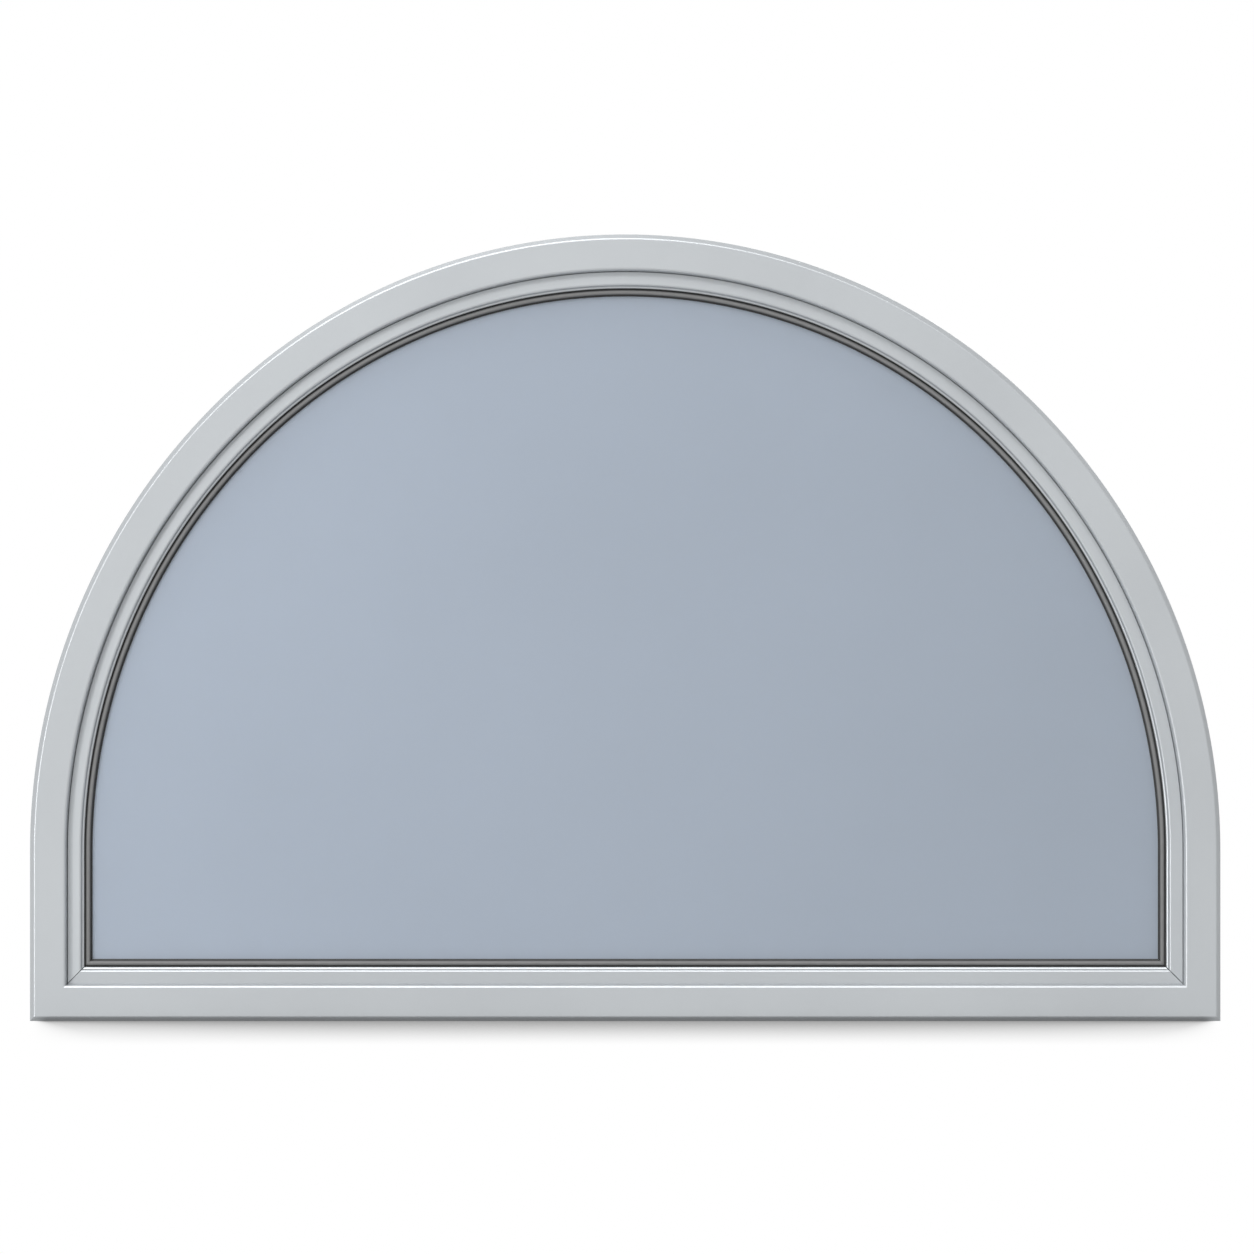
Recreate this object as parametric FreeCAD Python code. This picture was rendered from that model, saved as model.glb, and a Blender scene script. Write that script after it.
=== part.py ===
# Arched-top fixed window: a thermally broken aluminium frame with external glazing beads and double glazing.
#
# Every bar is a section drawn once and swept round the opening. The head and both jambs are one bent bar,
# the sill is a straight bar, and the two meet in mitres at the bottom corners.
# A section is drawn in (u, d): u runs from the frame's outer edge towards the glass, d from the outdoor
# face back into the room. In the finished window +X is right, +Z is up, and the outdoor face looks along -Y.
# All lengths are in millimetres.

import FreeCAD, Part
import math
import os
from FreeCAD import Vector

# Overall sizes
overall_width = 1200.0
overall_height = 793.0
jamb_height = 172.0         # straight part of each jamb, from the underside to the springing of the arch
haunch_angle = 45.0         # degrees of haunch arc on each side before the crown arc takes over
frame_depth = 70.0

# Outdoor half of the frame
face_width = 36.2           # outer edge to the arris of the step beside the bead
edge_chamfer = 4.3
step_run = 0.8              # the wall from the face down to the bead leans this much
step_drop = 12.0
outer_shell_depth = 29.0
bead_seat = 20.0            # depth of the ledge that the bead stands on
rebate_floor = 43.0         # outer edge to the floor of the glazing rebate
frame_wall = 2.0

# Thermal break between the two halves
break_width = 16.0
break_bar = 2.5             # thickness of each plastic bar
break_setback = 2.0         # from the frame's edge, and from the rebate floor
break_tenon = 2.0           # each bar's end is rolled this far into its slot

# Indoor half of the frame
upstand_edge = 60.0         # outer edge to the free edge of the upstand that backs the glass

# Glazing bead
bead_clearance = 0.3        # hairline between the bead and the frame's step
bead_width = 16.7           # step to the bead's nose
bead_band = 13.2            # broad front band of the bead
bead_rise = 0.7             # the band rises this much towards the glass
bead_step_run = 1.8         # small step between the band and the nose
bead_step_drop = 3.4
bead_nose_fall = 0.2
bead_nose_bevel = 0.8
bead_wall = 1.5
clip_thickness = 2.0        # foot that snaps into the frame's groove
clip_length = 3.2
clip_clearance = 0.3
clip_offset = 2.4           # bead's outer face to the middle of its foot

# Glazing
pane_thickness = 4.0
cavity_width = 16.0
edge_clearance = 5.0        # rebate floor to the edge of the glass, filled at two places by setting blocks
seal_height = 4.0
spacer_height = 6.5
gasket_thickness = 4.0      # pressed between the glass and the metal, on both sides
gasket_inset = 2.0          # rebate floor to the gasket's hidden edge
bulb_gap = 1.6              # open joint between the bead's nose and the gasket's bulb
bulb_width = 4.6
bulb_height = 7.0           # crest of the bulb above the glass
bulb_bevel = 1.5            # the bulb's two shoulders
wiper_width = 1.8           # thin lip from the bulb's foot out over the glass
wiper_thickness = 1.6
lip_reach = 2.0             # the indoor gasket shows this far beyond the upstand
block_length = 100.0

# Places worked out from the sizes above
half_width = overall_width / 2
arch_rise = overall_height - jamb_height
turn = math.radians(haunch_angle)
arc_difference = (arch_rise - half_width) / (math.cos(turn) + math.sin(turn) - 1)
haunch_radius = half_width + arc_difference * math.cos(turn)
crown_radius = arch_rise - arc_difference * math.sin(turn)

step_foot = face_width + step_run
bead_outer = step_foot + bead_clearance
bead_nose = bead_outer + bead_width
band_edge = bead_outer + bead_band
band_top = step_drop - bead_rise
clip_middle = bead_outer + clip_offset
glass_front = bead_seat + gasket_thickness
cavity_front = glass_front + pane_thickness
cavity_back = cavity_front + cavity_width
glass_back = cavity_back + pane_thickness
upstand_front = glass_back + gasket_thickness
inner_shell_front = outer_shell_depth + break_width
glass_edge = rebate_floor + edge_clearance
bulb_start = bead_nose + bulb_gap
bulb_end = bulb_start + bulb_width
sight_line = bulb_end + wiper_width
break_bars = (break_setback, rebate_floor - break_setback - break_bar)
y_axis = Vector(0, 1, 0)


def outline(points):
    """Closed wire through (u, d) corners. A corner with a third value gets a flat bevel that long each way."""
    corners = []
    for i, corner in enumerate(points):
        here = Vector(*corner[:2], 0)
        if len(corner) == 2:
            corners.append(here)
            continue
        for other in (points[i - 1], points[(i + 1) % len(points)]):
            along = Vector(*other[:2], 0) - here
            corners.append(here + along.normalize() * corner[2])
    return Part.makePolygon(corners + corners[:1])


def section(points, chamber=None, wall=0.0):
    """Face of a section, with the hollow left inside the chamber's outline when one is given."""
    face = Part.Face(outline(points))
    if chamber is None:
        return face
    hollow = outline(chamber).makeOffset2D(-wall, 2)
    return face.cut(Part.Face(hollow)).Faces[0]


def break_slots(depth, floor):
    """Corners of the two slots that hold the thermal break's bars, from the rebate side outwards."""
    corners = []
    for start in reversed(break_bars):
        stop = start + break_bar
        corners += [(stop, depth), (stop, floor), (start, floor), (start, depth)]
    return corners


def outer_frame_section():
    """Outdoor half: chamfered edge, broad face, step to the bead, bead ledge with its clip groove."""
    front = [
        (0, edge_chamfer),
        (edge_chamfer, 0),
        (face_width, 0),
        (step_foot, step_drop),
    ]
    groove_half = clip_thickness / 2 + clip_clearance
    groove_floor = bead_seat + clip_length + clip_clearance
    ledge = [
        (step_foot, bead_seat),
        (clip_middle - groove_half, bead_seat),
        (clip_middle - groove_half, groove_floor),
        (clip_middle + groove_half, groove_floor),
        (clip_middle + groove_half, bead_seat),
        (rebate_floor, bead_seat),
        (rebate_floor, outer_shell_depth),
    ]
    slot_floor = outer_shell_depth - break_tenon
    back = break_slots(outer_shell_depth, slot_floor) + [(0, outer_shell_depth)]
    chamber = front + [(step_foot, slot_floor), (0, slot_floor)]
    return section(front + ledge + back, chamber, frame_wall)


def inner_frame_section():
    """Indoor half: a box behind the thermal break, with the upstand that the glass is pressed against."""
    slot_floor = inner_shell_front + break_tenon
    rebate = [
        (rebate_floor, inner_shell_front),
        (rebate_floor, upstand_front),
        (upstand_edge, upstand_front),
    ]
    back = [(upstand_edge, frame_depth), (0, frame_depth)]
    slots = break_slots(inner_shell_front, slot_floor)[::-1]
    chamber = [(0, slot_floor), (rebate_floor, slot_floor)] + rebate[1:] + back
    return section([(0, inner_shell_front)] + slots + rebate + back, chamber, frame_wall)


def break_section(start):
    """One flat plastic bar of the thermal break, its ends let into both halves of the frame."""
    front = outer_shell_depth - break_tenon
    back = inner_shell_front + break_tenon
    stop = start + break_bar
    return section([(start, front), (stop, front), (stop, back), (start, back)])


def bead_section():
    """Hollow clip-on bead: rising band, small step, eased nose, and a foot for the frame's groove."""
    nose_top = band_top + bead_step_drop
    front = [
        (bead_outer, step_drop),
        (band_edge, band_top),
        (band_edge + bead_step_run, nose_top),
        (bead_nose, nose_top + bead_nose_fall, bead_nose_bevel),
        (bead_nose, bead_seat),
    ]
    half = clip_thickness / 2
    foot = [
        (clip_middle + half, bead_seat),
        (clip_middle + half, bead_seat + clip_length),
        (clip_middle - half, bead_seat + clip_length),
        (clip_middle - half, bead_seat),
        (bead_outer, bead_seat),
    ]
    chamber = [corner[:2] for corner in front] + [foot[-1]]
    return section(front + foot, chamber, bead_wall)


def outer_gasket_section():
    """Outdoor gasket: a strip pressed under the bead, then the bulb that shows and its wiper on the glass."""
    hidden = rebate_floor + gasket_inset
    crest = glass_front - bulb_height
    return section([
        (hidden, bead_seat),
        (bulb_start, bead_seat),
        (bulb_start, crest, bulb_bevel),
        (bulb_end, crest, bulb_bevel),
        (bulb_end, glass_front - wiper_thickness),
        (sight_line, glass_front),
        (hidden, glass_front),
    ])


def inner_gasket_section():
    """Indoor gasket: a wedge between the glass and the upstand, its lip just past the upstand's edge."""
    hidden = rebate_floor + gasket_inset
    return section([
        (hidden, glass_back),
        (upstand_edge + lip_reach, glass_back),
        (upstand_edge, upstand_front),
        (hidden, upstand_front),
    ])


def sweep_arch(face):
    """Bar with this section up one jamb, round the arch and down the other, before its mitres are cut."""
    start = face.copy()
    start.translate(Vector(-half_width, -frame_depth / 2, 0))
    up = Vector(0, 0, jamb_height)
    bars = [start.extrude(up)]
    start.translate(up)
    crown_centre = Vector(0, 0, overall_height - crown_radius)
    left_centre = Vector(haunch_radius - half_width, 0, jamb_height)
    right_centre = Vector(half_width - haunch_radius, 0, jamb_height)
    crown_turn = 180 - 2 * haunch_angle
    arcs = [(left_centre, haunch_angle), (crown_centre, crown_turn), (right_centre, haunch_angle)]
    for centre, angle in arcs:
        bars.append(start.revolve(centre, y_axis, angle))
        start.rotate(centre, y_axis, angle)
    bars.append(start.extrude(-up))
    return bars[0].multiFuse(bars[1:])


def sweep_sill(face):
    """Straight bar with this section along the bottom, before its mitres are cut."""
    start = face.copy()
    start.rotate(Vector(0, 0, 0), y_axis, -90)
    start.translate(Vector(-half_width, -frame_depth / 2, 0))
    return start.extrude(Vector(overall_width, 0, 0))


def mitre_wedge():
    """Block round the sill whose sloping ends are the two mitre planes."""
    over = sight_line + frame_wall
    corners = [
        Vector(-half_width - over, -frame_depth, -over),
        Vector(half_width + over, -frame_depth, -over),
        Vector(half_width - over, -frame_depth, over),
        Vector(-half_width + over, -frame_depth, over),
    ]
    base = Part.Face(Part.makePolygon(corners + corners[:1]))
    return base.extrude(Vector(0, 2 * frame_depth, 0))


def arched_plate(inset, front, thickness):
    """Plate with the window's own outline, moved in by inset, from depth front and of this thickness."""
    def at(centre, radius, degrees):
        angle = math.radians(degrees)
        return centre + Vector(radius * math.cos(angle), 0, radius * math.sin(angle))

    y = front - frame_depth / 2
    haunch = haunch_radius - inset
    crown = crown_radius - inset
    right = Vector(half_width - haunch_radius, y, jamb_height)
    left = Vector(haunch_radius - half_width, y, jamb_height)
    middle = Vector(0, y, overall_height - crown_radius)
    foot_right = Vector(half_width - inset, y, inset)
    foot_left = Vector(inset - half_width, y, inset)
    spring_right = at(right, haunch, 0)
    hand_right = at(right, haunch, haunch_angle)
    hand_left = at(left, haunch, 180 - haunch_angle)
    spring_left = at(left, haunch, 180)
    edges = [
        Part.LineSegment(foot_left, foot_right),
        Part.LineSegment(foot_right, spring_right),
        Part.Arc(spring_right, at(right, haunch, haunch_angle / 2), hand_right),
        Part.Arc(hand_right, at(middle, crown, 90), hand_left),
        Part.Arc(hand_left, at(left, haunch, 180 - haunch_angle / 2), spring_left),
        Part.LineSegment(spring_left, foot_left),
    ]
    wire = Part.Wire([edge.toShape() for edge in edges])
    return Part.Face(wire).extrude(Vector(0, thickness, 0))


def glazing_ring(inset, height):
    """Closed loop between the two panes, from inset towards the middle of the glass."""
    whole = arched_plate(inset, cavity_front, cavity_width)
    return whole.cut(arched_plate(inset + height, cavity_front, cavity_width))


def setting_block(middle):
    """Plastic block on the rebate floor that carries the glass, with its middle at this x."""
    corner = Vector(middle - block_length / 2, glass_front - frame_depth / 2, rebate_floor)
    return Part.makeBox(block_length, glass_back - glass_front, edge_clearance, corner)


def window_pieces():
    """Every piece of the window by its node name."""
    rim_bar, rebate_bar = break_bars
    bars = {
        "outer_frame": outer_frame_section(),
        "inner_frame": inner_frame_section(),
        "rim_break": break_section(rim_bar),
        "rebate_break": break_section(rebate_bar),
        "glazing_bead": bead_section(),
        "outer_gasket": outer_gasket_section(),
        "inner_gasket": inner_gasket_section(),
    }
    wedge = mitre_wedge()
    pieces = {}
    for name, face in bars.items():
        pieces[name + "_arch"] = sweep_arch(face).cut(wedge)
        pieces[name + "_sill"] = sweep_sill(face).common(wedge)
    pieces["outer_pane"] = arched_plate(glass_edge, glass_front, pane_thickness)
    pieces["inner_pane"] = arched_plate(glass_edge, cavity_back, pane_thickness)
    pieces["spacer_bar"] = glazing_ring(glass_edge + seal_height, spacer_height)
    pieces["edge_seal"] = glazing_ring(glass_edge, seal_height)
    quarter = (half_width - glass_edge) / 2
    pieces["setting_block_left"] = setting_block(-quarter)
    pieces["setting_block_right"] = setting_block(quarter)
    return pieces


os.makedirs("parts", exist_ok=True)
for node, shape in window_pieces().items():
    solid = shape.Solids[0]
    solid.exportStep(os.path.join("parts", node + ".step"))
    print(node, len(shape.Solids), "solid", solid.isValid(), round(solid.Volume), "mm3")
print("crown radius", round(crown_radius, 1), "haunch radius", round(haunch_radius, 1))
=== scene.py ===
# %% [markdown]
# # Dressing an arched window
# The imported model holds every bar, pane and gasket of the window in its true place. This lesson keeps that
# frame, sweeps finer versions of the bars that show, gives each piece a finish, and lights the window as
# in a plain studio. Everything is in metres: X to the right, Y into the room, Z up.

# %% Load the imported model
import math

import bmesh
import bpy
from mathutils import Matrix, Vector


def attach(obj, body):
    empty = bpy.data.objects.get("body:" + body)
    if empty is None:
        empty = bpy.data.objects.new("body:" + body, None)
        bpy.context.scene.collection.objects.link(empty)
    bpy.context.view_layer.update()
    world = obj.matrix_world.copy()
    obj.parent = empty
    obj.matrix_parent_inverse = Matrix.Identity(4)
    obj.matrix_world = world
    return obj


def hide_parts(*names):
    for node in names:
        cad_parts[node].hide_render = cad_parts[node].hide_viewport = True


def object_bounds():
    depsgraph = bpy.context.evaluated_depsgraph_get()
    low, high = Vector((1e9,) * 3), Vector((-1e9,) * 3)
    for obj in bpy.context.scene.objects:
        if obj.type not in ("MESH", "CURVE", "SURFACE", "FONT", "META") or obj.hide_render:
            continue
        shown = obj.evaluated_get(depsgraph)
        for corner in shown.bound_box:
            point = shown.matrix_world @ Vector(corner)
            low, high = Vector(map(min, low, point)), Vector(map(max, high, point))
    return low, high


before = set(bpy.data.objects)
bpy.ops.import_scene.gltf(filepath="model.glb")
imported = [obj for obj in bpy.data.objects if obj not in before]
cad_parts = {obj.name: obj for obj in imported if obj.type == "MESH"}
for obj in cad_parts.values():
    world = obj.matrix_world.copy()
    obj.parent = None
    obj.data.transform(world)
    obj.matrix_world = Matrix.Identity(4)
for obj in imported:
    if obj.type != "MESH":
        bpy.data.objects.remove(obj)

cad_low, cad_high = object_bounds()
print("CAD box", [round(v, 4) for v in cad_low], [round(v, 4) for v in cad_high])

# %% [markdown]
# ## The line that every bar follows
# The head of the window is not quite a half circle: it is a three-centred arch, with a flatter arc on each
# haunch and a tighter one over the crown, and a short straight jamb below each haunch. A curve object could
# carry the bars, but its corners can't be mitred. So the line is worked out here as a row of stations: a
# point on the window's outer edge, and the direction in which the section's width grows from there.

# %% The three arcs of the head
MM = 0.001
half_width = cad_high.x
half_depth = cad_high.y
crown_height = cad_high.z
jamb_height = 172 * MM
haunch_turn = math.radians(45)

rise = crown_height - jamb_height
shift = (rise - half_width) / (math.cos(haunch_turn) + math.sin(haunch_turn) - 1)
haunch_radius = half_width + shift * math.cos(haunch_turn)
crown_radius = rise - shift * math.sin(haunch_turn)
print("crown radius", round(crown_radius, 4), "haunch radius", round(haunch_radius, 4))

# %% Stations up the left jamb, round the arch and down the right jamb
HAUNCH_STEPS = 45
CROWN_STEPS = 90
LEFT_CORNER = (Vector((-half_width, 0)), Vector((1, 1)))
RIGHT_CORNER = (Vector((half_width, 0)), Vector((-1, 1)))


def arc_stations(centre, radius, start, stop, count):
    """Points from one angle to another, with the direction back to the arc's centre."""
    made = []
    for i in range(count + 1):
        angle = start + (stop - start) * i / count
        outward = Vector((math.cos(angle), math.sin(angle)))
        made.append((centre + radius * outward, -outward))
    return made


def arch_stations():
    """From the left mitre to the right mitre. At a mitre the section is stretched along both bars."""
    left = Vector((haunch_radius - half_width, jamb_height))
    crown = Vector((0, crown_height - crown_radius))
    right = Vector((half_width - haunch_radius, jamb_height))
    left_end = math.pi - haunch_turn
    made = [LEFT_CORNER]
    made += arc_stations(left, haunch_radius, math.pi, left_end, HAUNCH_STEPS)
    made += arc_stations(crown, crown_radius, left_end, haunch_turn, CROWN_STEPS)[1:]
    made += arc_stations(right, haunch_radius, haunch_turn, 0, HAUNCH_STEPS)[1:]
    made.append(RIGHT_CORNER)
    return made


def sill_stations():
    """From the right mitre back to the left mitre."""
    return [RIGHT_CORNER, LEFT_CORNER]


whole_loop = arch_stations()
print(len(whole_loop), "stations round the window")

# %% [markdown]
# ## Sweeping a section
# An extruded bar has one section all along. Its corners are never knife-sharp: the coating softens them,
# and that soft arris is what catches a line of light. So a section here is a list of (u, d) corners in
# millimetres, u from the outer edge and d back from the outdoor face, and a third value rounds that corner.
# A bevel modifier could round them as well, but it would take the corners that stay sharp too. The edges of
# a mitre are marked sharp, so that each bar is shaded by itself right up to the joint.

# %% Round the corners of a section
ROUND_STEPS = 8


def soften(corners):
    """The section's points, with an arc at each corner that has a radius."""
    points = []
    for i, corner in enumerate(corners):
        here = Vector(corner[:2])
        if len(corner) == 2:
            points.append(here)
            continue
        radius = corner[2]
        before = (Vector(corners[i - 1][:2]) - here).normalized()
        after = (Vector(corners[(i + 1) % len(corners)][:2]) - here).normalized()
        half = before.angle(after) / 2
        middle = here + (before + after).normalized() * (radius / math.sin(half))
        start = here + before * (radius / math.tan(half)) - middle
        stop = here + after * (radius / math.tan(half)) - middle
        for k in range(ROUND_STEPS + 1):
            points.append(middle + start.slerp(stop, k / ROUND_STEPS) * radius)
    return points


print(ROUND_STEPS + 1, "points on each round")

# %% Mark the sharp edges
SHARP = math.radians(28)
STRETCHED = 1.1


def is_mitre(inward):
    """At a mitre the section is stretched, so its direction is longer than 1."""
    return inward.length > STRETCHED


def mark_sharp(work, rings, stations):
    """Smooth shading over the arcs, with sharp edges at real corners and at the mitres."""
    for face in work.faces:
        face.smooth = True
    for edge in work.edges:
        edge.smooth = edge.calc_face_angle() < SHARP
    for ring, (_, inward) in zip(rings, stations):
        if is_mitre(inward):
            for p, vert in enumerate(ring):
                work.edges.get((ring[p - 1], vert)).smooth = False


# %% Sweep a section along the stations
def sweep(name, corners, stations, closed=False):
    """A bar as one mesh. An open bar is closed with a flat face at each end."""
    section = soften(corners)
    work = bmesh.new()
    rings = []
    for point, inward in stations:
        spots = [(point + inward * (u * MM), d * MM - half_depth) for u, d in section]
        rings.append([work.verts.new((flat.x, depth, flat.y)) for flat, depth in spots])
    for s in range(len(stations) if closed else len(stations) - 1):
        ring, following = rings[s], rings[(s + 1) % len(rings)]
        for p in range(len(section)):
            q = (p + 1) % len(section)
            work.faces.new((ring[p], ring[q], following[q], following[p]))
    if not closed:
        work.faces.new(rings[0])
        work.faces.new(rings[-1])
    bmesh.ops.recalc_face_normals(work, faces=work.faces)
    mark_sharp(work, rings, stations)
    mesh = bpy.data.meshes.new(name)
    work.to_mesh(mesh)
    work.free()
    bar = bpy.data.objects.new(name, mesh)
    bar.modifiers.new("flat_faces_stay_flat", "WEIGHTED_NORMAL").keep_sharp = True
    bpy.context.scene.collection.objects.link(bar)
    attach(bar, "root")
    print(name, len(mesh.polygons), "faces")
    return bar


# %% [markdown]
# ## The outdoor half of the frame
# This is the broad silver-grey face: a chamfer round the outside, a flat, and a step down to the bead. It
# could be swept as two bars, as it is cut. But on the real window the corner joint is closed and coated
# over, so that no line shows there, and one closed loop gives just that.

# %% Outdoor frame
CHAMFER = 4.3
RIM_ROUND = 0.5
ARRIS_ROUND = 2.5
FACE_EDGE = 36.2
STEP_ROUND = 3.2
STEP_FOOT = 37
BEAD_FRONT = 12
BEAD_SEAT = 20
REBATE = 43
OUTDOOR_BACK = 29
BREAK_ROUND = 0.4

outdoor_frame = sweep("outdoor_frame", [
    (0, CHAMFER, RIM_ROUND), (CHAMFER, 0, ARRIS_ROUND), (FACE_EDGE, 0, STEP_ROUND),
    (STEP_FOOT, BEAD_FRONT), (STEP_FOOT, BEAD_SEAT), (REBATE, BEAD_SEAT),
    (REBATE, OUTDOOR_BACK), (0, OUTDOOR_BACK, BREAK_ROUND),
], whole_loop, closed=True)
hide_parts("outer_frame_arch", "outer_frame_sill")

# %% [markdown]
# ## The glazing bead
# The bead snaps in after the glass and holds it. It is cut from two bars, one bent and one straight, whose
# mitres show as hairlines at the bottom corners. A dark line painted across a loop could stand for them, but
# two open sweeps, each stopping a little short of the mitre and eased at its cut ends, show a true one. The
# bent bar leaves a fine dark gap beside the step. The straight one is easier to fit, and lies almost tight.

# %% Section of the bead
BEAD_EDGE = 50.5
BEAD_HIGH = 11.3
BEAD_ROUND = 2.4
SHELF_START = 52.3
SHELF_FRONT = 14.8
SHELF_ROUND = 0.3
BEAD_NOSE = 54
NOSE_FRONT = 15.4
NOSE_ROUND = 1.4


def bead_corners(gap, ease):
    """A band that rises a little, a small step, a sloped shelf and a rounded nose beside the gasket."""
    return [
        (STEP_FOOT + gap, BEAD_FRONT, ease), (BEAD_EDGE, BEAD_HIGH, BEAD_ROUND),
        (SHELF_START, SHELF_FRONT, SHELF_ROUND), (BEAD_NOSE, NOSE_FRONT, NOSE_ROUND),
        (BEAD_NOSE, BEAD_SEAT), (STEP_FOOT + gap, BEAD_SEAT),
    ]


print("the bead's band is", BEAD_EDGE - STEP_FOOT, "mm wide")

# %% Bead in two bars
MITRE_GAP = 0.4 * MM
CUT_EASE = 0.3 * MM


def shorten(stations, gap):
    """The same stations with both mitre points moved back along the bar."""
    made = list(stations)
    for end, neighbour in ((0, 1), (-1, -2)):
        point, inward = made[end]
        made[end] = (point + (made[neighbour][0] - point).normalized() * gap, inward)
    return made


def ease_ends(bar, width):
    """A small bevel round the two cut faces, the only faces with more than four corners."""
    work = bmesh.new()
    work.from_mesh(bar.data)
    cuts = [face for face in work.faces if len(face.verts) > 4]
    edges = list({edge for face in cuts for edge in face.edges})
    bmesh.ops.bevel(work, geom=edges, offset=width, segments=2, profile=0.5, affect="EDGES")
    work.to_mesh(bar.data)
    work.free()
    bar.data.set_sharp_from_angle(angle=SHARP)


bead_arch = sweep("bead_arch", bead_corners(gap=0.45, ease=0.5), shorten(arch_stations(), MITRE_GAP))
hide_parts("glazing_bead_arch")
bead_sill = sweep("bead_sill", bead_corners(gap=0.05, ease=0.15), shorten(sill_stations(), MITRE_GAP))
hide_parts("glazing_bead_sill")
for bead in (bead_arch, bead_sill):
    ease_ends(bead, CUT_EASE)

# %% [markdown]
# ## The gaskets
# A black rubber gasket is pressed between the bead and the glass, with a half-round bulb on show and a thin
# wiper that lies on the glass. A round cord could stand for the bulb, but a section keeps the foot and the
# wiper too. It is cut to a mitre at each bottom corner, like the bead, and rubber butts closer than metal.
# Behind the glass a plain wedge, welded into one loop, does the same work against the frame's upstand.

# %% Outdoor gasket with its bulb
RUBBER_GAP = 0.1 * MM
GASKET_ROOT = 45
BULB_START = 55.6
BULB_END = 60.2
BULB_TOP = 17
BULB_ROUND = 2.1
BULB_FOOT = 22.4
SIGHT_LINE = 62
WIPER_EDGE = 23.8
GLASS_FRONT = 24
RUBBER_ROUND = 0.3

bulb_corners = [
    (GASKET_ROOT, BEAD_SEAT), (BULB_START, BEAD_SEAT), (BULB_START, BULB_TOP, BULB_ROUND),
    (BULB_END, BULB_TOP, BULB_ROUND), (BULB_END, BULB_FOOT, RUBBER_ROUND), (SIGHT_LINE, WIPER_EDGE),
    (SIGHT_LINE, GLASS_FRONT), (GASKET_ROOT, GLASS_FRONT),
]
bulb_arch = sweep("bulb_gasket_arch", bulb_corners, shorten(arch_stations(), RUBBER_GAP))
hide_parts("outer_gasket_arch")
bulb_sill = sweep("bulb_gasket_sill", bulb_corners, shorten(sill_stations(), RUBBER_GAP))
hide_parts("outer_gasket_sill")

# %% Indoor wedge
GLASS_BACK = 48
UPSTAND_FRONT = 52
UPSTAND_EDGE = 60

wedge_gasket = sweep("wedge_gasket", [
    (GASKET_ROOT, GLASS_BACK), (SIGHT_LINE, GLASS_BACK, RUBBER_ROUND),
    (UPSTAND_EDGE, UPSTAND_FRONT), (GASKET_ROOT, UPSTAND_FRONT),
], whole_loop, closed=True)
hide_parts("inner_gasket_arch", "inner_gasket_sill")

# %% [markdown]
# ## The indoor half of the frame
# The room side is a plain box with an upstand that the glass is pressed against. The model's own bars could
# stay here, but their arrises are sharp. So it is swept like the rest, with small rounds.

# %% Indoor frame
INDOOR_FRONT = 45
ROOM_FACE = 70
UPSTAND_ROUND = 0.5
REVEAL_ROUND = 1.2
ROOM_ROUND = 1.0

indoor_frame = sweep("indoor_frame", [
    (0, INDOOR_FRONT, BREAK_ROUND), (REBATE, INDOOR_FRONT), (REBATE, UPSTAND_FRONT),
    (UPSTAND_EDGE, UPSTAND_FRONT, UPSTAND_ROUND), (UPSTAND_EDGE, ROOM_FACE, REVEAL_ROUND),
    (0, ROOM_FACE, ROOM_ROUND),
], whole_loop, closed=True)
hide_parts("inner_frame_arch", "inner_frame_sill")

# %% [markdown]
# ## Satin coating
# The frame is aluminium under a satin silver-grey coat. Seen close it has a fine orange peel and slow
# changes of tone, with no grain or brush lines. A painted picture could show that, but two noises over the
# object's own coordinates run on from bar to bar with no seam, and need no UV map. The coat is part
# metallic: it picks up the lamps on the arrises more strongly than plain paint would.

# %% Start a material
def start_material(name):
    """A new material with its node tree and its main shader."""
    material = bpy.data.materials.new(name)
    material.use_nodes = True
    return material, material.node_tree, material.node_tree.nodes["Principled BSDF"]


def add(tree, kind, **sockets):
    """A node of this kind with its unlinked sockets set."""
    node = tree.nodes.new(kind)
    for socket, value in sockets.items():
        node.inputs[socket.replace("_", " ")].default_value = value
    return node


# %% Noise, and a value spread over a range
def object_place(tree):
    """Where a point lies on the object, in metres."""
    return tree.nodes.new("ShaderNodeTexCoord").outputs["Object"]


def noise(tree, scale, detail):
    """Noise over the object's own coordinates."""
    texture = add(tree, "ShaderNodeTexNoise", Scale=scale, Detail=detail)
    tree.links.new(object_place(tree), texture.inputs["Vector"])
    return texture.outputs["Fac"]


def spread(tree, value, low, high, start=0.3, stop=0.7, ease="LINEAR"):
    """A value from start to stop, spread from low to high."""
    node = add(tree, "ShaderNodeMapRange", From_Min=start, From_Max=stop, To_Min=low, To_Max=high)
    node.interpolation_type = ease
    tree.links.new(value, node.inputs["Value"])
    return node.outputs["Result"]


# %% Colour and fine relief
def tint(tree, value, low, high, start=0.3, stop=0.7):
    """A value from start to stop, as a blend between two colours."""
    ramp = tree.nodes.new("ShaderNodeValToRGB")
    ramp.color_ramp.elements[0].position = start
    ramp.color_ramp.elements[0].color = (*low, 1)
    ramp.color_ramp.elements[1].position = stop
    ramp.color_ramp.elements[1].color = (*high, 1)
    tree.links.new(value, ramp.inputs["Fac"])
    return ramp.outputs["Color"]


def bump(tree, height, strength, distance):
    """Fine relief from a height."""
    node = add(tree, "ShaderNodeBump", Strength=strength, Distance=distance)
    tree.links.new(height, node.inputs["Height"])
    return node.outputs["Normal"]


# %% Satin silver-grey coat
COAT_DARK = (0.455, 0.477, 0.495)
COAT_LIGHT = (0.481, 0.504, 0.521)


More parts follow.
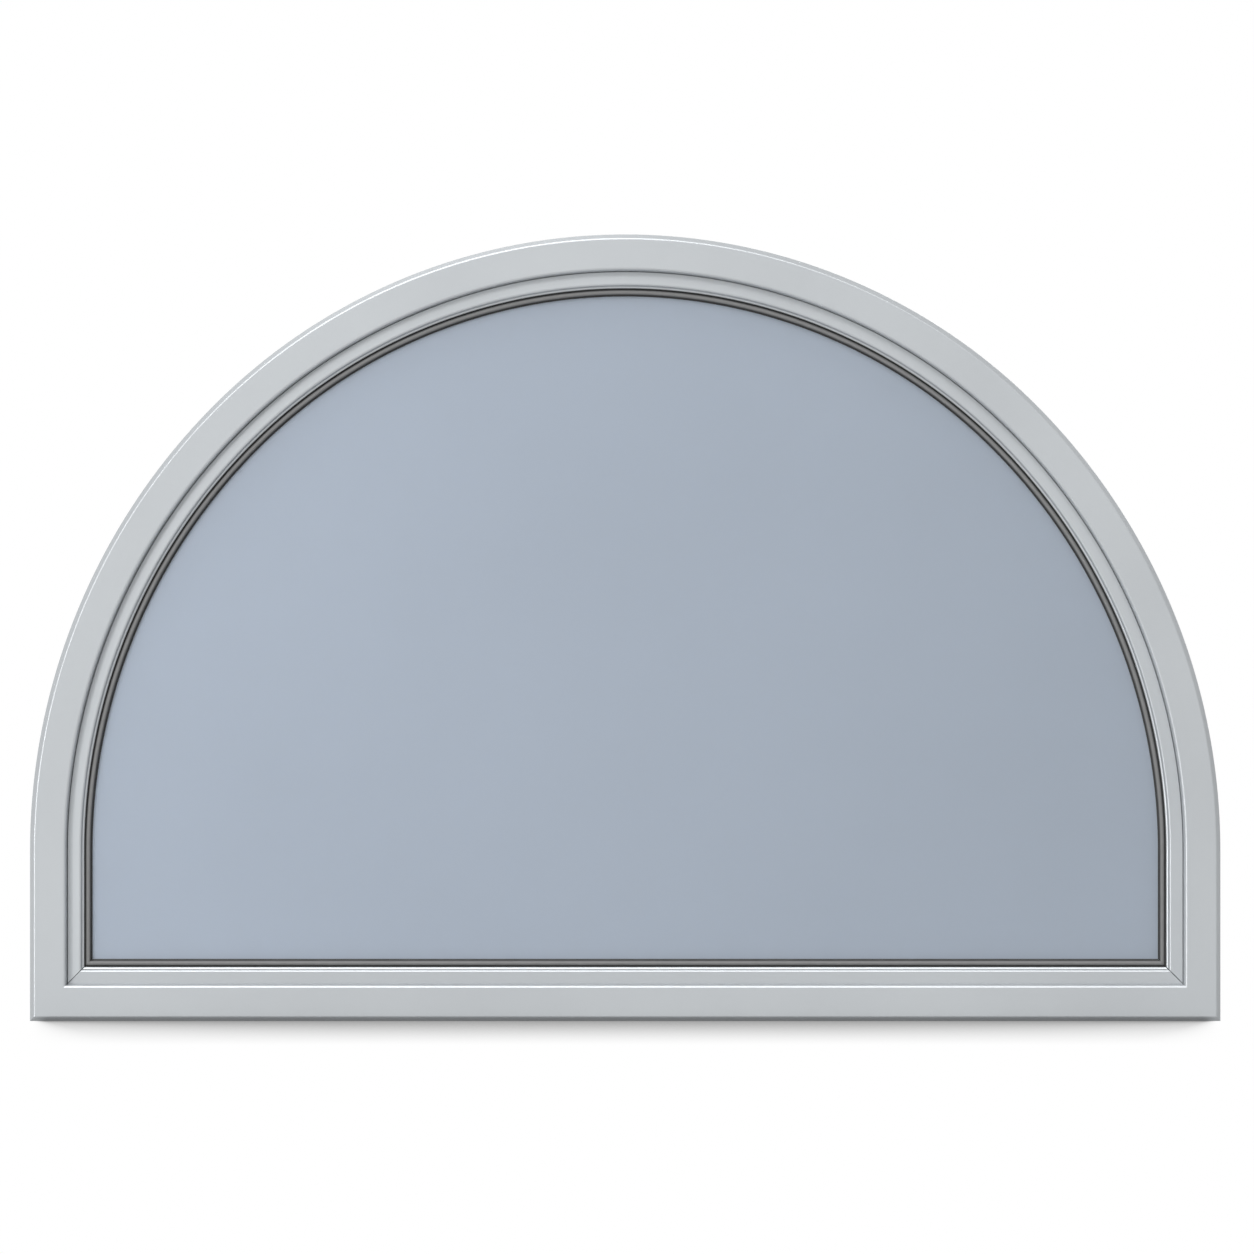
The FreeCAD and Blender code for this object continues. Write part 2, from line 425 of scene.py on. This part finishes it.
def satin_coat():
    """Slow clouds in tone and gloss, and a fine orange peel."""
    material, tree, shader = start_material("satin_silver_coat")
    cloud = noise(tree, scale=5.0, detail=4.0)
    peel = noise(tree, scale=1500.0, detail=2.0)
    tree.links.new(tint(tree, cloud, COAT_DARK, COAT_LIGHT), shader.inputs["Base Color"])
    tree.links.new(spread(tree, cloud, low=0.33, high=0.35), shader.inputs["Roughness"])
    tree.links.new(bump(tree, peel, strength=0.02, distance=0.1 * MM), shader.inputs["Normal"])
    shader.inputs["Metallic"].default_value = 0.4
    shader.inputs["IOR"].default_value = 1.5
    return material


coat = satin_coat()
for piece in (outdoor_frame, bead_arch, bead_sill, indoor_frame):
    piece.data.materials.append(coat)
print("satin coat on the four metal sweeps")

# %% [markdown]
# ## Rubber
# The gasket is black rubber with a mottle of grime. Its colour is painted by depth as light and shade: grey
# on the crest, which stands nearest the front, and black in the folds. This could be painted on the mesh
# point by point. But depth alone tells the two apart, and a map from depth to grey holds from every side.

# %% One coordinate, and arithmetic in nodes
def axis(tree, name):
    """One of the object's coordinates."""
    split = tree.nodes.new("ShaderNodeSeparateXYZ")
    tree.links.new(object_place(tree), split.inputs["Vector"])
    return split.outputs[name]


def combine(tree, operation, *values):
    """One step of arithmetic on one to three values, each a socket or a plain number."""
    node = tree.nodes.new("ShaderNodeMath")
    node.operation = operation
    for slot, value in zip(node.inputs, values):
        if isinstance(value, bpy.types.NodeSocket):
            tree.links.new(value, slot)
        else:
            slot.default_value = value
    return node.outputs["Value"]


# %% Rubber with painted light and shade
CREST_TOP = -17.7 * MM
CREST_FOOT = -15.5 * MM
FOLD_PAINTED_SHADE = (0.018, 0.018, 0.018)
CREST_PAINTED_LIGHT = (0.19, 0.19, 0.19)


def rubber_painted_light_and_shade():
    """Painted light grey on the crest, painted shade black in the folds, with a mottle of grime."""
    material, tree, shader = start_material("rubber_painted_light_and_shade")
    # painted light and shade: the crest, nearest the front, is grey, and the deeper folds are black
    crest = spread(tree, axis(tree, "Y"), low=0.0, high=1.0, start=CREST_FOOT, stop=CREST_TOP)
    grime = noise(tree, scale=120.0, detail=5.0)
    painted_light_and_grime = combine(tree, "MULTIPLY", crest, spread(tree, grime, low=0.85, high=1.0))
    colour = tint(tree, painted_light_and_grime, FOLD_PAINTED_SHADE, CREST_PAINTED_LIGHT, start=0.0, stop=1.0)
    tree.links.new(colour, shader.inputs["Base Color"])
    tree.links.new(spread(tree, grime, low=0.5, high=0.65), shader.inputs["Roughness"])
    tree.links.new(bump(tree, grime, strength=0.1, distance=0.2 * MM), shader.inputs["Normal"])
    return material


rubber = rubber_painted_light_and_shade()
for piece in (bulb_arch, bulb_sill, wedge_gasket):
    piece.data.materials.append(rubber)
print("weathered rubber on the gaskets")

# %% [markdown]
# ## Glass
# The outer pane is blue-grey and satin: it takes the light softly and shows hardly anything behind it. Its
# colour is painted a little lighter towards the left, as painted light. Plain tinted glass would show the
# room, so here part of the light goes through blurred and part comes back, under a smooth outer skin. The
# inner pane is clear, so from the room one looks through it at the spacer and at the back of the satin pane.

# %% Satin outer pane
GLASS_DARK = (0.410, 0.468, 0.546)
GLASS_LIGHT = (0.501, 0.570, 0.668)


def dress(node, material):
    """Puts one material on a CAD node."""
    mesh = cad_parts[node].data
    mesh.materials.clear()
    mesh.materials.append(material)


def satin_glass():
    """Painted light: lighter towards the left, with slow clouds and a fine satin grain."""
    material, tree, shader = start_material("satin_blue_glass")
    cloud = noise(tree, scale=3.0, detail=5.0)
    grain = noise(tree, scale=400.0, detail=2.0)
    # painted light: the pane's colour grows lighter towards the left
    painted_light_from_left = spread(tree, axis(tree, "X"), low=1.0, high=0.0, start=-half_width, stop=half_width)
    painted_light_and_cloud = combine(tree, "ADD", painted_light_from_left, spread(tree, cloud, low=-0.1, high=0.1))
    colour = tint(tree, painted_light_and_cloud, GLASS_DARK, GLASS_LIGHT, start=0.0, stop=1.0)
    tree.links.new(colour, shader.inputs["Base Color"])
    tree.links.new(spread(tree, grain, low=0.36, high=0.44), shader.inputs["Roughness"])
    tree.links.new(bump(tree, grain, strength=0.03, distance=0.2 * MM), shader.inputs["Normal"])
    shader.inputs["Transmission Weight"].default_value = 0.45
    shader.inputs["IOR"].default_value = 1.5
    shader.inputs["Coat Weight"].default_value = 0.5
    shader.inputs["Coat Roughness"].default_value = 0.08
    return material


dress("outer_pane", satin_glass())
print("satin glass on the outer pane")

# %% Clear inner pane
def clear_glass():
    """Nearly clear, with faint smears, and shiny enough to show that it is there."""
    material, tree, shader = start_material("clear_glass")
    smear = noise(tree, scale=6.0, detail=4.0)
    colour = tint(tree, smear, low=(0.60, 0.66, 0.70), high=(0.66, 0.72, 0.76))
    tree.links.new(colour, shader.inputs["Base Color"])
    tree.links.new(spread(tree, smear, low=0.03, high=0.07), shader.inputs["Roughness"])
    shader.inputs["IOR"].default_value = 2.0
    shader.inputs["Alpha"].default_value = 0.3
    return material


dress("inner_pane", clear_glass())
print("clear glass on the inner pane")

# %% [markdown]
# ## The pieces inside
# The thermal break shows as a dark stripe round the window's rim, and the spacer can be seen from the room
# through the clear pane. The rest is hidden, but each piece still gets the finish that it has in life. A
# material could be built for each by hand. They differ in little more than colour and grain, though, so one
# function makes them all.

# %% A grained finish
def grained(name, low, high, scale, roughness, relief, metallic=0.0):
    """A plain material with a fine grain in its colour, gloss and surface."""
    material, tree, shader = start_material(name)
    grain = noise(tree, scale, detail=4.0)
    tree.links.new(tint(tree, grain, low, high), shader.inputs["Base Color"])
    tree.links.new(spread(tree, grain, *roughness), shader.inputs["Roughness"])
    tree.links.new(bump(tree, grain, relief, distance=0.3 * MM), shader.inputs["Normal"])
    shader.inputs["Metallic"].default_value = metallic
    return material


# %% Plastic, spacer metal and sealant
polyamide = grained("black_polyamide", low=(0.018, 0.018, 0.019), high=(0.035, 0.035, 0.037),
                    scale=500.0, roughness=(0.5, 0.65), relief=0.15)
for node in ("rim_break_arch", "rim_break_sill", "rebate_break_arch", "rebate_break_sill"):
    dress(node, polyamide)
aluminium = grained("mill_aluminium", low=(0.50, 0.51, 0.52), high=(0.58, 0.59, 0.60),
                    scale=300.0, roughness=(0.3, 0.4), relief=0.05, metallic=1.0)
dress("spacer_bar", aluminium)
sealant = grained("black_sealant", low=(0.015, 0.015, 0.015), high=(0.025, 0.025, 0.025),
                  scale=90.0, roughness=(0.4, 0.55), relief=0.2)
dress("edge_seal", sealant)
packer = grained("green_packer", low=(0.05, 0.13, 0.07), high=(0.07, 0.17, 0.09),
                 scale=200.0, roughness=(0.4, 0.5), relief=0.1)
for node in ("setting_block_left", "setting_block_right"):
    dress(node, packer)
print("finishes on the inner pieces")

# %% [markdown]
# ## Floor
# The window stands on a plain white floor. More light could make the floor white, but it would bleach the
# window too. So to a camera, a mirror or a pane the floor glows. Ambient occlusion takes the glow away close
# to the window: that is the soft shadow under the sill. It fades out before the window's ends, more softly
# the further it is from the sill. In metal and glass only the dark line at the foot of the sill is kept. To
# all other rays the floor is a matt sheet that sends the light back, apart from a narrow strip at the foot
# that is painted dark as shade.

# %% Which rays show the background
SEEN_RAYS = ("Is Camera Ray", "Is Glossy Ray", "Is Transmission Ray")


def seen_directly(tree):
    """1 for rays that show the background to the eye, straight or by way of metal or glass."""
    path = tree.nodes.new("ShaderNodeLightPath")
    total = path.outputs[SEEN_RAYS[0]]
    for ray in SEEN_RAYS[1:]:
        total = combine(tree, "MAXIMUM", total, path.outputs[ray])
    return total


# %% Shadow on the floor
SHADOW_REACH = 0.6
SHADOW_DARK = 0.64
HALF_HIDDEN = 0.5
END_SPREAD = 0.25
END_SOFTNESS = 0.012
FADE_START = -0.9
FADE_STOP = -0.12
FOOT_STRIP = 0.012
FOOT_FADE = 4 * FOOT_STRIP


def floor_glow(tree):
    """How brightly the floor shows at each place: white, less the shadow where it is kept."""
    sideways = combine(tree, "ABSOLUTE", axis(tree, "X"))
    away = combine(tree, "ABSOLUTE", axis(tree, "Y"))
    nearby = add(tree, "ShaderNodeAmbientOcclusion", Distance=SHADOW_REACH).outputs["AO"]
    dark = spread(tree, nearby, low=SHADOW_DARK, high=0.0, start=HALF_HIDDEN, stop=1.0)
    softness = combine(tree, "MULTIPLY_ADD", away, END_SPREAD, END_SOFTNESS)
    past_end = combine(tree, "DIVIDE", combine(tree, "SUBTRACT", sideways, half_width), softness)
    inside = spread(tree, past_end, 1.0, 0.0, FADE_START, FADE_STOP, ease="SMOOTHSTEP")
    at_foot = spread(tree, away, 1.0, 0.0, half_depth + FOOT_STRIP, half_depth + FOOT_FADE)
    camera_ray = tree.nodes.new("ShaderNodeLightPath").outputs["Is Camera Ray"]
    kept = combine(tree, "MAXIMUM", camera_ray, at_foot)
    shadow = combine(tree, "MULTIPLY", combine(tree, "MULTIPLY", dark, inside), kept)
    return combine(tree, "SUBTRACT", 1.0, shadow)


# %% Floor
FLOOR_WHITE = 0.62
FOOT_PAINTED_SHADE = 0.1
FLOOR_SIZE = 20.0
FLOOR_LEVEL = -0.0005
FLOOR_CORNERS = ((-1, -1), (1, -1), (1, 1), (-1, 1))


def white_floor():
    """A glow for rays that show the floor, and a matt sheet for all others, painted dark as shade at the
    foot.
    """
    material, tree, shader = start_material("white_floor")
    tree.nodes.remove(shader)
    matt = tree.nodes.new("ShaderNodeBsdfDiffuse")
    away = combine(tree, "ABSOLUTE", axis(tree, "Y"))
    # painted shade: the matt colour is dark in a narrow strip at the foot of the sill
    white = spread(tree, away, FOOT_PAINTED_SHADE, FLOOR_WHITE, half_depth, half_depth + FOOT_STRIP)
    tree.links.new(white, matt.inputs["Color"])
    glow = tree.nodes.new("ShaderNodeEmission")
    tree.links.new(floor_glow(tree), glow.inputs["Strength"])
    either = tree.nodes.new("ShaderNodeMixShader")
    tree.links.new(seen_directly(tree), either.inputs["Fac"])
    tree.links.new(matt.outputs["BSDF"], either.inputs[1])
    tree.links.new(glow.outputs["Emission"], either.inputs[2])
    tree.links.new(either.outputs["Shader"], tree.nodes["Material Output"].inputs["Surface"])
    return material


floor_mesh = bpy.data.meshes.new("floor")
floor_points = [(FLOOR_SIZE * x, FLOOR_SIZE * y, FLOOR_LEVEL) for x, y in FLOOR_CORNERS]
floor_mesh.from_pydata(floor_points, [], [(0, 1, 2, 3)])
floor = bpy.data.objects.new("floor", floor_mesh)
bpy.context.scene.collection.objects.link(floor)
floor_mesh.materials.append(white_floor())
print("floor", 2 * FLOOR_SIZE, "m wide")

# %% [markdown]
# ## World
# The background is white to the eye, straight or mirrored. A white world could light the window as well, but
# then every fold would fill with light. So as a light it is only a weak dome, brightest high in front of the
# window, which leaves the lamps their lines and the folds their shade.

# %% World
BRIGHTEST = Vector((0, -0.8, 0.5)).normalized()
DOME_LOW = 0.04
DOME_HIGH = 0.14

world = bpy.data.worlds.new("white_studio")
bpy.context.scene.world = world
world.use_nodes = True
sky = world.node_tree
background = sky.nodes["Background"]
background.inputs["Color"].default_value = (1, 1, 1, 1)
direction = sky.nodes.new("ShaderNodeTexCoord").outputs["Generated"]
towards = sky.nodes.new("ShaderNodeVectorMath")
towards.operation = "DOT_PRODUCT"
towards.inputs[1].default_value = BRIGHTEST
sky.links.new(direction, towards.inputs[0])
dome = spread(sky, towards.outputs["Value"], DOME_LOW, DOME_HIGH, start=0.0, stop=1.0)
sky.links.new(combine(sky, "MAXIMUM", dome, seen_directly(sky)), background.inputs["Strength"])
print("dome from", DOME_LOW, "to", DOME_HIGH)

# %% [markdown]
# ## Lamps
# The light lines on the window all face up or left. So round softboxes hang in front in a part of a ring,
# from the left over the top, and a smaller one stands at the ring's low left end for the upright lines. One
# large key lamp could do it too, but then each arris would catch it at one place only. A wide light from
# overhead brightens the sill's steps, and the head shades the bead and the top of the pane from it. Another
# wide one behind lights the room side.

# %% A softbox and a wide light
def aim(lamp, target):
    """Turns a lamp to look at a place."""
    lamp.rotation_euler = (Vector(target) - lamp.location).to_track_quat("-Z", "Y").to_euler()


def soft_lamp(name, location, width, power):
    """A round softbox of this width that looks at the window."""
    data = bpy.data.lights.new(name, "AREA")
    data.shape = "DISK"
    data.size = width
    data.energy = power
    lamp = bpy.data.objects.new(name, data)
    lamp.location = location
    bpy.context.scene.collection.objects.link(lamp)
    aim(lamp, (0, 0, crown_height / 2))


def sky_lamp(name, direction, degrees, strength):
    """A light as wide as this angle, so far off that it lights every place alike."""
    data = bpy.data.lights.new(name, "SUN")
    data.angle = math.radians(degrees)
    data.energy = strength
    lamp = bpy.data.objects.new(name, data)
    lamp.location = direction
    bpy.context.scene.collection.objects.link(lamp)
    aim(lamp, (0, 0, 0))


# %% Ring of softboxes and the two wide lights
RING_RADIUS = 3.84
RING_DISTANCE = 5.12
RING_LEVEL = 0.2
RING_LAMPS = 5
RING_TURN = 20
RING_POWER = 20
POWER_STEP = 5
LOW_LEVEL = 0.37

soft_lamp("low_left", (-RING_RADIUS, -RING_DISTANCE, LOW_LEVEL), width=0.7, power=66)
for i in range(1, RING_LAMPS + 1):
    angle = math.radians(180 - RING_TURN * i)
    place = (RING_RADIUS * math.cos(angle), -RING_DISTANCE, RING_LEVEL + RING_RADIUS * math.sin(angle))
    soft_lamp(f"ring_{i}", place, width=1.6, power=RING_POWER + POWER_STEP * i)
sky_lamp("overhead", (-0.25, -0.5, 0.85), degrees=40, strength=1.5)
sky_lamp("behind", (0.4, 1.0, 0.8), degrees=50, strength=0.9)
print(RING_LAMPS + 3, "lamps")

# %% [markdown]
# ## Camera
# The photograph looks straight at the window from far away, so that nothing converges. A camera without any
# perspective could do it too, but a long lens at ten metres, level with the middle of the window, is how
# such a picture is really taken, and it shows the floor before the sill.

# %% Camera
DISTANCE = 10.0
PICTURE_WIDTH = 1.2636
PICTURE_MIDDLE = (0.0018, 0.3972)

lens = bpy.data.cameras.new("camera")
lens.sensor_width = 36
lens.lens = lens.sensor_width * DISTANCE / PICTURE_WIDTH
lens.clip_end = 100
camera = bpy.data.objects.new("camera", lens)
camera.location = (PICTURE_MIDDLE[0], -half_depth - DISTANCE, PICTURE_MIDDLE[1])
camera.rotation_euler = (math.radians(90), 0, 0)
bpy.context.scene.collection.objects.link(camera)
bpy.context.scene.camera = camera
bpy.context.scene.view_settings.view_transform = "Standard"
print("lens", round(lens.lens, 1), "mm")
